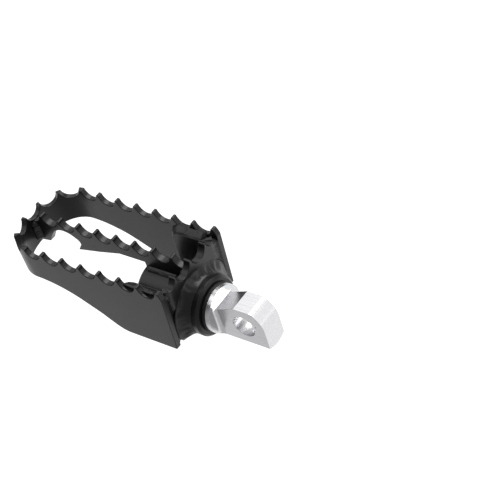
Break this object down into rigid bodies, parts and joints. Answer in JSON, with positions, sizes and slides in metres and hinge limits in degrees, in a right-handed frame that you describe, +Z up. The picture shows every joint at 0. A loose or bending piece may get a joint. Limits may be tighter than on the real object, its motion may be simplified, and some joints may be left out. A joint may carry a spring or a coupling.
{
  "type": "motorcycle foot peg",
  "caption": "Serrated steel cage foot peg with an opener hook in its centre rib, turning on an aluminium male clevis mount.",
  "frame": {"origin": "centre of the clevis-pin hole, on the barrel axis", "axes": "+X out along the barrel axis to the toe end of the cage, +Y along the pin hole, +Z up towards the teeth"},
  "size_m": [0.1504, 0.0502, 0.0451],
  "materials": {
    "black_powder_coat": "satin black powder coat",
    "machined_aluminium": "bright machined",
    "black_rubber": "matt",
    "plated_steel": "zinc plated, turned",
    "screw_steel": "plated"
  },
  "bodies": {
    "mount": {"male_mount": "machined_aluminium", "seal_ring": "black_rubber", "retaining_disc": "plated_steel", "disc_screw": "screw_steel"},
    "cage": {"side_band": "black_powder_coat", "cross_bracket": "black_powder_coat", "centre_rib": "black_powder_coat", "barrel": "black_powder_coat", "weld_barrel_ring": "black_powder_coat", "weld_seam_left": "black_powder_coat", "weld_seam_right": "black_powder_coat", "weld_wing_left": "black_powder_coat", "weld_wing_right": "black_powder_coat", "weld_rib_barrel_left": "black_powder_coat", "weld_rib_barrel_right": "black_powder_coat", "weld_rib_plate_left": "black_powder_coat", "weld_rib_plate_right": "black_powder_coat", "weld_rib_toe_left": "black_powder_coat", "weld_rib_toe_right": "black_powder_coat"}
  },
  "joints": [
    {"name": "cage_turn", "type": "hinge", "parent": "mount", "child": "cage", "pos_m": [0.0405, 0, 0], "axis": [1, 0, 0], "continuous": true}
  ]
}
